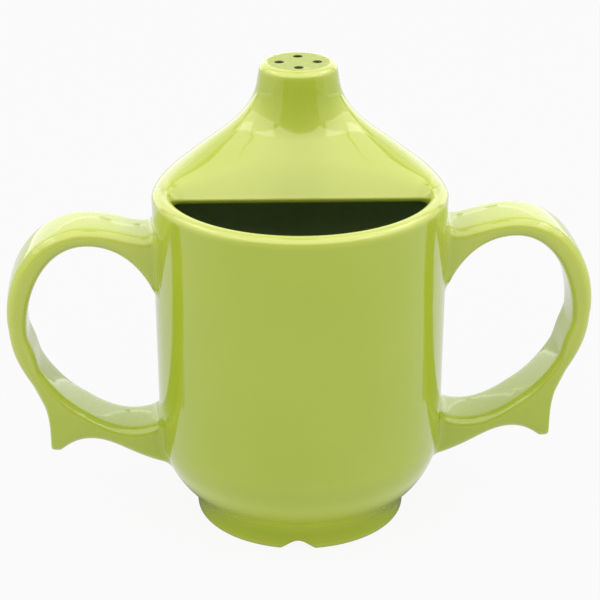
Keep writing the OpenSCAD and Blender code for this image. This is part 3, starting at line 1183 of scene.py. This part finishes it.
@dataclass(frozen=True)
class FiredCup:
    """Cup, foot ring, half cover and spout, luted together and glazed over as one surface.

    The grid's runs give start, end and step along X, Y and Z, and its shifts keep it off the flat faces.
    """

    cup: CupBody
    foot: FootRing
    cover: HalfCover
    holes: FlowHoles
    slip_t: float = 0.4
    foot_fillet: float = 3.0
    lip_fillet: float = 3.8
    corner_fillet: float = 5.0
    corner_r: Span = (35.0, 38.0)
    ends_y: Span = (0.0, 8.0)
    roll: float = 1.25
    mouth_y: float = -5.0
    seat_h: float = 92.0
    step_share: float = 0.75
    hold: float = 2.0
    hold_y: Span = (-3.0, 5.0)
    hold_h: Span = (93.4, 95.2)
    cover_from: float = 86.0
    wide: Runs = ((-41.3, 41.4, 0.62),)
    deep: Runs = ((-41.3, -8.0, 0.62), (-8.0, 0.0, 0.4), (0.0, 41.5, 0.62))
    tall: Runs = (
        (-1.3, 12.5, 0.42), (12.5, 28.0, 0.95), (28.0, 84.0, 2.8), (84.0, 91.0, 0.6),
        (91.0, 97.6, 0.36), (97.6, 118.0, 0.7), (118.0, 126.4, 0.42),
    )
    shifts: Place = (0.0, 0.013, 0.007)

    def tube(self, p: Array) -> Array:
        """Measure from the clay of cup and foot, the rim held back under the cover.

        Args:
            p: Rows of x, y, z.

        Returns:
            Distances, less than 0 in the clay.
        """
        r, z = np.hypot(p[:, 0], p[:, 1]), p[:, 2]
        clay = smooth_min(self.cup.shell(r, z), self.foot.ring(r, z), self.foot_fillet)
        behind = smooth_step(self.cover.local(p)[:, 1], *self.hold_y)
        return clay + self.hold * behind * smooth_step(z, *self.hold_h)

    def field(self, p: Array) -> Array:
        """Measure from the whole glazed surface.

        The lip's two ends run into the rim with a fillet, which stays inside the outer wall and the dome.

        Args:
            p: Rows of x, y, z.

        Returns:
            Distances, less than 0 in the clay.
        """
        clay = self.tube(p)
        high = np.flatnonzero(p[:, 2] > self.cover_from)
        if not len(high):
            return clay
        q, tube = p[high], clay[high]
        r, local = np.hypot(q[:, 0], q[:, 1]), self.cover.local(q)
        cover = self.cover.shell(q)
        plain = np.minimum(tube, cover)
        fillet = self.lip_fillet + self.corner_fillet * smooth_step(r, *self.corner_r)
        ends = 1.0 - smooth_step(local[:, 1], *self.ends_y)
        swell = ends * (plain - smooth_min(tube, cover, fillet))
        filled = round_max(plain - swell, self.cover.distance(local, Skin.DOME), self.roll * swell)
        clay[high] = np.maximum(np.minimum(plain, filled), r - self.cup.wall_r(q[:, 2]))
        return clay

    def axes(self) -> list[Array]:
        """Lay out the grid, close together where the surface bends most.

        Returns:
            Places along X, Y and Z.
        """
        return [
            np.concatenate([np.arange(a, b - step / 3.0, step) for a, b, step in runs]) + shift
            for runs, shift in zip((self.wide, self.deep, self.tall), self.shifts)
        ]

    def fired(self) -> Piece:
        """Build the whole glazed surface as one closed net."""
        points, faces = surface_net(self.field, self.axes())
        return mesh_object("fired_cup", relaxed(self.field, points, faces), faces)

    def zones(self) -> dict[str, list[tuple[Piece, Cut]]]:
        """Lay out where each clay piece and each film of slip ends.

        Returns:
            Cutting shapes for each node.
        """
        foot, cup, cover, t = self.foot, self.cup, self.cover, self.slip_t
        low, far, top, back = -2.0, 36.0, 140.0, 60.0
        seat, bed, neck = self.seat_h, self.seat_h + t, cover.neck_h
        front, turn = self.mouth_y + self.step_share * t, cover.turn
        ring = box_outline(foot.inner_r, far, low, foot.top_h)
        film = [
            (cup.boss_r, low), (foot.inner_r, low), (foot.inner_r, foot.top_h),
            (far, foot.top_h), (far, cup.base_h), (cup.boss_r, cup.base_h),
        ]
        under = box_outline(cup.boss_r, far, low, cup.base_h)
        step = [
            (self.mouth_y, seat), (back, seat), (back, bed),
            (front, bed), (front, top), (self.mouth_y, top),
        ]
        return {
            "foot_ring": [(lathe("ring_zone", ring), Cut.KEEP)],
            "foot_slip": [(lathe("film_zone", film), Cut.KEEP)],
            "cup_body": [
                (lathe("under_zone", under), Cut.REMOVE),
                (prism("back_zone", box_outline(self.mouth_y, back, seat, top), turn), Cut.REMOVE),
            ],
            "cover_slip": [(prism("step_zone", step, turn), Cut.KEEP)],
            "half_cover": [(prism("cover_zone", box_outline(front, back, bed, neck), turn), Cut.KEEP)],
            "spout_slip": [(prism("neck_zone", box_outline(front, back, neck, neck + t), turn), Cut.KEEP)],
            "spout_tip": [(prism("tip_zone", box_outline(front, back, neck + t, top), turn), Cut.KEEP)],
        }

    def build(self, glaze: Material, joint_glaze: Material) -> None:
        """Build, cut and dress every piece.

        Args:
            glaze: Finish of the clay pieces and the flush films.
            joint_glaze: Finish of the film in the foot's crease.
        """
        fired, cuts = self.fired(), RingOfCuts()
        turn = math.radians(self.cover.turn)
        spout = np.array([-math.sin(turn), math.cos(turn), 0.0]) * self.cover.spout_y * MM
        rings = {
            "foot_ring": {
                "Shape": self.foot.notch(),
                "Count": self.foot.notch_count,
                "First Turn": math.radians(self.foot.notch_turn),
                "Finish": glaze,
            },
            "spout_tip": {
                "Shape": self.holes.plug(self.cover.top_h),
                "Count": self.holes.count,
                "Circle Radius": self.holes.circle_r * MM,
                "First Turn": turn,
                "Centre": spout.tolist(),
                "Finish": glaze,
            },
        }
        for node, zones in self.zones().items():
            piece = placed(f"glazed_{node}", fired.data.copy())
            for zone, cut in zones:
                carve(piece, zone, cut)
            if node in rings:
                cuts.cut(piece, rings[node])
            # The flow holes' walls take the edge value that paints their shade.
            dress_surface(piece, self.field, self.holes.edge if node == "spout_tip" else 0.0)
            join_frame(piece, node, joint_glaze if node == "foot_slip" else glaze)
        bpy.data.objects.remove(fired)


@dataclass(frozen=True)
class Handle:
    """A strap handle with a finger spur, and the slip that lutes its two ends to the wall."""

    cup: CupBody
    side: Side
    strap_w: float = 17.0
    edge_r: float = 2.6
    crown: float = 0.4
    least_lift: float = 0.02
    reach: float = 40.0
    strap_t: float = 5.5
    strap_top_t: float = 5.8
    drop: float = 8.2
    upper_drop: float = 10.6
    upper_joint_h: float = 17.8
    lower_rise: float = 4.0
    lower_joint_h: float = 13.4
    gap_rise: float = 1.8
    belly_drop: float = 34.0
    hip_rise: float = 9.5
    crown_share: float = 0.45
    arch_share: float = 0.47
    arch_drop: float = 1.1
    heel_share: float = 0.5
    heel_rise: float = 6.2
    spur_in: float = 10.3
    spur_drop: float = 3.3
    spur_round: float = 2.6
    slip_t: float = 0.4
    bead_w: float = 2.4
    seat_gap: float = 0.02
    toe_sink: float = 0.03
    corner_edge: float = 0.9
    hollow_edge: float = -0.3
    side_places: Span = (0.3, -0.3)
    flat_steps: int = 8
    arc_steps: int = 9
    fine: int = 4
    skipped: int = 2
    bead_stations: int = 9
    flank_steps: int = 12

    def on_wall(self, z: float) -> Span:
        """The point of the cup's outline at a height."""
        return float(self.cup.body_r(np.array(z))), z

    def curves(self) -> tuple[list[Curve], list[Curve]]:
        """Draw the strap's side view.

        Returns:
            Curves of its outside and of its finger gap, each as four points, a share to start
            at, a share to end at and a number of steps.
        """
        cup, wall, rim_r, turn_h = self.cup, self.on_wall, self.cup.rim_r, self.cup.turn_h
        upper_top, lower_top = cup.rim_h - self.upper_drop, turn_h + self.lower_rise
        upper_low, lower_low = upper_top - self.upper_joint_h, lower_top - self.lower_joint_h
        top, gap_floor = cup.rim_h - self.drop, turn_h + self.gap_rise
        gap_top = top - self.strap_top_t
        belly, hip = cup.rim_h - self.belly_drop, turn_h + self.hip_rise
        far = rim_r + self.reach
        gap, crown = far - self.strap_t, rim_r + self.crown_share * self.reach
        arch, arch_h = rim_r + self.arch_share * self.reach, turn_h - self.arch_drop
        heel, heel_h = rim_r + self.heel_share * self.reach, gap_floor + self.heel_rise
        spur, spur_h, nib = far - self.spur_in, arch_h - self.spur_drop, self.spur_round
        outside = [
            ([wall(upper_top), (rim_r + 4, upper_top - 1.6), (crown - 8, top), (crown, top)], 0, 1, 7),
            ([(crown, top), (crown + 13, top), (far, belly + 14), (far, belly)], 0, 1, 8),
            ([(far, belly), (far, belly - 9), (spur + 4.5, hip + 7.5), (spur + 1.4, hip)], 0, 1, 6),
            ([(spur + 1.4, hip), (spur, hip - 3.5), (spur, hip - 8), (spur, spur_h + nib)], 0, 1, 4),
            ([(spur, spur_h + nib), (spur, spur_h), (spur, spur_h), (spur - nib, spur_h)], 0, 1, 2),
            ([(spur - nib, spur_h), (spur - 4, spur_h + 0.8), (arch + 4.5, arch_h), (arch, arch_h)], 0, 1, 6),
            ([(arch, arch_h), (arch - 7, arch_h), (rim_r + 8, lower_low + 3), wall(lower_low)], 0, 1, 7),
        ]
        side = [(gap, belly - 3.5), (gap, belly - 13.2), (heel + 7.5, heel_h + 4.8), (heel, heel_h)]
        inside = [
            ([wall(upper_low), (rim_r + 3, upper_low + 8), (crown - 9, gap_top), (crown, gap_top)], 0, 1, 7),
            ([(crown, gap_top), (crown + 11, gap_top), (gap, belly + 6.5), side[0]], 0, 1, 8),
            (side, 0, 0.55, 6),
            (side, 0.55, 0.7, 4),
            (side, 0.7, 0.8, 2),
            (side, 0.8, 1, 6),
            ([side[-1], (heel - 7, gap_floor + 1), (rim_r + 6, gap_floor - 1), wall(lower_top)], 0, 1, 7),
        ]
        return outside, inside

    def line(self, curves: list[Curve]) -> Array:
        """Join curves into one line.

        Args:
            curves: Curves that follow on from each other.

        Returns:
            Points as x and z.
        """
        parts = []
        for corners, start, end, steps in curves:
            p = np.array(corners, dtype=float)
            t = np.linspace(start, end, steps * self.fine + 1)[:, None]
            s = 1.0 - t
            run = p[0] * s**3 + p[1] * 3 * s**2 * t + p[2] * 3 * s * t**2 + p[3] * t**3
            parts.append(run if not parts else run[1:])
        return np.concatenate(parts)

    @cached_property
    def lines(self) -> Line:
        """The strap's outside and its finger gap, station by station."""
        outside, inside = self.curves()
        return self.line(outside), self.line(inside)

    @cached_property
    def section(self) -> Array:
        """Trace a section with round edges.

        Returns:
            For each corner: signs of its edge's middle across and along the strap's thickness, and
            the direction out from that middle.
        """
        turn = np.radians(np.linspace(0.0, 90.0, self.arc_steps))
        rows = []
        for across, along, start in ((1, 1, 0.0), (-1, 1, 90.0), (-1, -1, 180.0), (1, -1, 270.0)):
            a = turn + math.radians(start)
            rows += [(across, along, c, s) for c, s in zip(np.cos(a), np.sin(a))]
            c, s = math.cos(a[-1]), math.sin(a[-1])
            if abs(s) > abs(c):
                flat = np.linspace(1.0, -1.0, self.flat_steps)[1:-1]
                rows += [(across * f, along, c, s) for f in flat]
            else:
                rows += [(across, along * f, c, s) for f in self.side_places]
        return np.array(rows)

    def ring(self, station: int, grow: float = 0.0) -> Array:
        """Lay the section at a station.

        Args:
            station: Number of the station.
            grow: How much larger the section is all round.

        Returns:
            The section's corners.
        """
        o, q = self.lines[0][station], self.lines[1][station]
        thick = np.linalg.norm(o - q)
        u = (o - q) / thick
        r = self.edge_r + grow
        across, along, c, s = self.section.T
        half = self.strap_w / 2.0 + grow
        y = across * (half - r) + r * c
        lift = np.maximum(thick / 2.0 + grow - r - self.crown * (y / half) ** 2, self.least_lift)
        out = along * lift + r * s
        middle = (o + q) / 2.0
        return np.stack([middle[0] + u[0] * out, y, middle[1] + u[1] * out], axis=1)

    def wall_ring(self, station: int, gap: float, grow: float = 0.0) -> Array:
        """Lay the section at a station, moved along X until it stands off the wall.

        Args:
            station: Number of the station.
            gap: How far it stands off the wall.
            grow: How much larger the section is all round.

        Returns:
            The section's corners.
        """
        p = self.ring(station, grow)
        p[:, 0] = np.sqrt((self.cup.body_r(p[:, 2]) + gap) ** 2 - p[:, 1] ** 2)
        return p

    @cached_property
    def strap(self) -> Array:
        """Lay out the strap, without the stations that are too near its two ends on the wall.

        Returns:
            Its rings from the upper end to the lower one.
        """
        film, last = self.slip_t + self.seat_gap, len(self.lines[0]) - 1
        middle = [self.ring(i) for i in range(self.skipped, last - self.skipped + 1)]
        return np.array([self.wall_ring(0, film), *middle, self.wall_ring(last, film)])

    def wall_normals(self, p: Array) -> Array:
        """Directions straight out of the cup's wall beside some points."""
        lean = (self.cup.body_r(p[:, 2] + PROBE) - self.cup.body_r(p[:, 2] - PROBE)) / (2.0 * PROBE)
        return unit(np.column_stack([p[:, :2] / np.hypot(p[:, 0], p[:, 1])[:, None], -lean]))

    def bead(self, end: int, inward: int) -> tuple[Array, Array]:
        """Shape the slip at one end: the film under the strap and a fillet onto the wall.

        Args:
            end: The end's station.
            inward: 1 if the strap goes on with higher stations, otherwise -1.

        Returns:
            Rings from the strap's end face to the fillet's toe, and the normals of all but the first.
        """
        rows = self.strap[::inward][:self.bead_stations]
        around = np.roll(rows, -1, axis=1) - np.roll(rows, 1, axis=1)
        outward = np.cross(around, np.gradient(rows, axis=0)).reshape(-1, 3)
        outward = unit(outward).reshape(rows.shape)
        outward *= np.sign((outward * (rows - rows.mean(axis=1, keepdims=True))).sum())
        root = self.wall_ring(end, self.seat_gap)
        toe = self.wall_ring(end, -self.toe_sink, self.bead_w)
        side, normal = rows[0].copy(), outward[0].copy()
        left = np.full(len(side), self.bead_w - self.slip_t)
        for onward, turned in zip(rows[1:], outward[1:]):
            along = onward - side
            length = np.linalg.norm(along, axis=1)
            share = np.clip(left / np.maximum(length, TINY), 0.0, 1.0)
            side = side + along * share[:, None]
            normal = normal + (turned - normal) * share[:, None]
            left = left - length * share
        near = unit(normal) * np.linalg.norm(root - side, axis=1, keepdims=True)
        far = self.wall_normals(toe) * np.linalg.norm(toe - root, axis=1, keepdims=True)
        t = np.linspace(0.0, 1.0, self.flank_steps)
        flank = np.array([side * (1 - a) ** 2 + root * 2 * a * (1 - a) + toe * a * a for a in t])
        normals = np.array([unit(near * (1 - a) + far * a) for a in t])
        return np.concatenate([rows[:1], flank]), normals

    def build(self, glaze: Material, joint_glaze: Material) -> None:
        """Build and dress the strap and its slip.

        Args:
            glaze: Finish of the strap.
            joint_glaze: Finish of the slip's fillets.
        """
        name = self.side.name.lower()
        flip = np.array([self.side.value, 1.0, 1.0])
        last = len(self.lines[0]) - 1
        strap = loft(f"glazed_{name}_handle", self.strap * flip)
        corner = np.abs(self.section[:, 2] * self.section[:, 3]) * self.corner_edge
        self.dress(strap, np.tile(corner, len(strap.data.vertices) // len(corner)))
        join_frame(strap, f"{name}_handle", glaze)
        beads = [self.bead(*end) for end in ((0, 1), (last, -1))]
        parts = [loft("bead", rings * flip) for rings, _ in beads]
        slip = self.joined(f"glazed_{name}_handle_slip", parts)
        arc = np.sin(np.linspace(0.0, math.pi, self.flank_steps))
        hollow = np.concatenate([[0.0], self.hollow_edge * arc])
        hidden = np.zeros((1, len(self.section), 3))
        normals = np.concatenate([part for _, flank in beads for part in (hidden, flank)])
        edge = np.tile(np.repeat(hollow, len(self.section)), len(beads))
        self.dress(slip, edge, normals.reshape(-1, 3) * flip)
        join_frame(slip, f"{name}_handle_slip", joint_glaze)

    @staticmethod
    def joined(name: str, parts: list[Piece]) -> Piece:
        """Put the meshes of several objects into one.

        Args:
            name: The new object's name.
            parts: The objects, which are used up.

        Returns:
            The new object.
        """
        whole = bmesh.new()
        for part in parts:
            whole.from_mesh(part.data)
            bpy.data.objects.remove(part)
        mesh = bpy.data.meshes.new(name)
        whole.to_mesh(mesh)
        whole.free()
        return placed(name, mesh)

    @staticmethod
    def dress(piece: Piece, edge: Array, normals: Array | None = None) -> None:
        """Shade a piece smooth up to its joint faces and note its edges, with painted light on its upper
        parts.

        Args:
            piece: The piece.
            edge: 1 on a sharp outer edge, -1 in a deep crease, for each point.
            normals: Shading normals of the four-sided faces, 0 at points that keep their own.
        """
        quad, given_length = 4, 0.5
        mesh = piece.data
        points = smoothed(mesh)
        out = read(mesh.vertex_normals, "vector") if normals is None else normals
        # The handle's painted light is added to its edge value.
        note_edge_and_painted_light(mesh, edge + PaintedLightAndShade().on_handle(points, out))
        if normals is None:
            return
        point, face, shading = face_corners(mesh)
        given = np.bincount(face, (normals[point] ** 2).sum(axis=1) > given_length) == quad
        held = (given & (np.bincount(face) == quad))[face]
        mesh.normals_split_custom_set(np.where(held[:, None], normals[point], shading).tolist())


# Studio, with lengths in metres


@dataclass(frozen=True)
class Lamp:
    """A soft box."""

    name: str
    place: Place
    width: float
    height: float
    power: float
    square_on: bool = False
    aim_h: float = 0.06

    def build(self) -> None:
        """Set up the lamp so that it faces the cup, or the plane across it if it is square on."""
        data = bpy.data.lights.new(self.name, "AREA")
        data.shape = "RECTANGLE"
        data.size, data.size_y, data.energy = self.width, self.height, self.power
        lamp = placed(self.name, data)
        lamp.location = self.place
        aim = (self.place[0] if self.square_on else 0.0, 0.0, self.aim_h)
        lamp.rotation_euler = aimed(np.subtract(aim, self.place))


def aimed(direction: Array) -> Place:
    """Turn that points a lamp or camera's -Z along a direction, its Y upwards."""
    x, y, z = direction / np.linalg.norm(direction)
    return math.acos(max(-1.0, min(1.0, -z))), 0.0, math.atan2(-x, y)


@dataclass(frozen=True)
class Studio:
    """Pale floor, soft boxes, even fill and the camera."""

    azimuth: float = -4.0
    elevation: float = 23.23
    distance: float = 0.6
    target_h: float = 0.06234
    lens: float = 130.93
    sensor: float = 36.0
    floor_half: float = 12.0
    fill: float = 0.24
    lamps: tuple[Lamp, ...] = (
        Lamp("front_box", (0.0, -0.774, 1.166), 2.3, 1.29, 14.8),
        Lamp("top_left_box", (-0.62, 0.15, 1.25), 0.6, 1.1, 3.2),
        Lamp("top_right_box", (0.62, 0.15, 1.25), 0.6, 1.1, 3.6),
        Lamp("left_box", (-1.05, -0.05, 0.93), 1.7, 0.62, 5.0),
        Lamp("right_box", (1.05, -0.05, 0.93), 1.7, 0.62, 5.5),
        Lamp("left_panel", (-1.30, -0.10, 0.38), 2.2, 0.7, 2.8),
        Lamp("right_panel", (1.30, -0.10, 0.38), 2.2, 0.7, 2.8),
        Lamp("back_box", (0.0, 1.30, 0.8325), 2.7, 0.575, 5.2, True),
        Lamp("back_left_box", (-0.6525, 1.30, 0.2675), 1.395, 0.555, 2.95, True),
        Lamp("back_right_box", (0.7425, 1.30, 0.2675), 1.215, 0.555, 2.57, True),
        Lamp("back_low_box", (0.09, 1.30, 0.2425), 0.09, 0.505, 0.17, True),
        Lamp("top_back_box", (0.0, 0.95, 1.25), 2.0, 0.5, 2.4),
    )

    def build(self) -> None:
        """Set up the stage, the lamps, the fill and the camera."""
        scene = bpy.context.scene
        scene.view_settings.view_transform = "Standard"
        h = self.floor_half / MM
        corners = np.array([(-h, -h, 0), (h, -h, 0), (h, h, 0), (-h, h, 0)])
        floor, finish = mesh_object("floor", corners, [(0, 1, 2, 3)]), StudioFloor()
        floor.data.materials.append(finish.material())
        world = bpy.data.worlds.new("studio_fill")
        scene.world = world
        world.use_nodes = True
        bench = Bench(world.node_tree)
        light = {"Color": rgba(finish.white), "Strength": self.fill}
        grey = bench.add("ShaderNodeBackground", sockets=light)
        bench.add("ShaderNodeOutputWorld", sockets={"Surface": grey})
        for lamp in self.lamps:
            lamp.build()
        self.camera()

    def camera(self) -> None:
        """Set up the camera at the photograph's angle."""
        a, e = math.radians(self.azimuth), math.radians(self.elevation)
        away = np.array([math.sin(a) * math.cos(e), -math.cos(a) * math.cos(e), math.sin(e)])
        data = bpy.data.cameras.new("camera")
        data.lens, data.sensor_width = self.lens, self.sensor
        camera = placed("camera", data)
        camera.location = away * self.distance + np.array([0.0, 0.0, self.target_h])
        camera.rotation_euler = aimed(-away)
        bpy.context.scene.camera = camera


def main() -> None:
    """Build the studio, then each sub-assembly."""
    logging.basicConfig(level=logging.INFO, format="%(name)s: %(message)s")
    Studio().build()
    glaze = LimeGlaze("lime_glaze").material()
    joint_glaze = LimeGlaze("lime_glaze_over_slip", pooling=0.03).material()
    cup = CupBody()
    FiredCup(cup, FootRing(), HalfCover(), FlowHoles()).build(glaze, joint_glaze)
    for side in Side:
        Handle(cup, side).build(glaze, joint_glaze)


if __name__ == "__main__":
    main()
